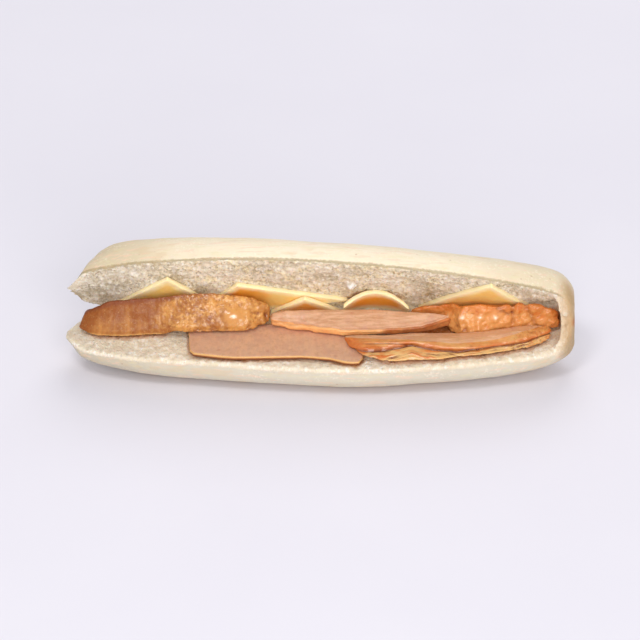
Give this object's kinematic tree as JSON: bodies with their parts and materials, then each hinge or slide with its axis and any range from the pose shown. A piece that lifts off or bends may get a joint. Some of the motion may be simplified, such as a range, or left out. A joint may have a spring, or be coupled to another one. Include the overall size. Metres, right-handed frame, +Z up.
{
  "type": "submarine sandwich",
  "caption": "Long pale soft sandwich roll slit open along one side, joined along its back and right end, holding roast chicken breast and corners of sliced cheese.",
  "frame": {"origin": "On the resting plane, under the middle of the sandwich's bounding box.", "axes": "+X along the roll towards its joined right end, +Y away from the open mouth towards the hinge, +Z up."},
  "size_m": [0.305, 0.0858, 0.0814],
  "materials": {
    "bread": "matte soft crust and open crumb",
    "cheese": "smooth, satin",
    "roast_chicken": "glossy roasted surface",
    "cut_chicken": "moist cut face, satin"
  },
  "bodies": {
    "root": {"roll": "bread", "cheese_1": "cheese", "cheese_2": "cheese", "cheese_3": "cheese", "cheese_4": "cheese", "cheese_5": "cheese", "chicken_left": "roast_chicken", "chicken_mid": "cut_chicken", "chicken_fold": "roast_chicken", "chicken_right": "roast_chicken", "slice_low": "cut_chicken"}
  },
  "joints": []
}
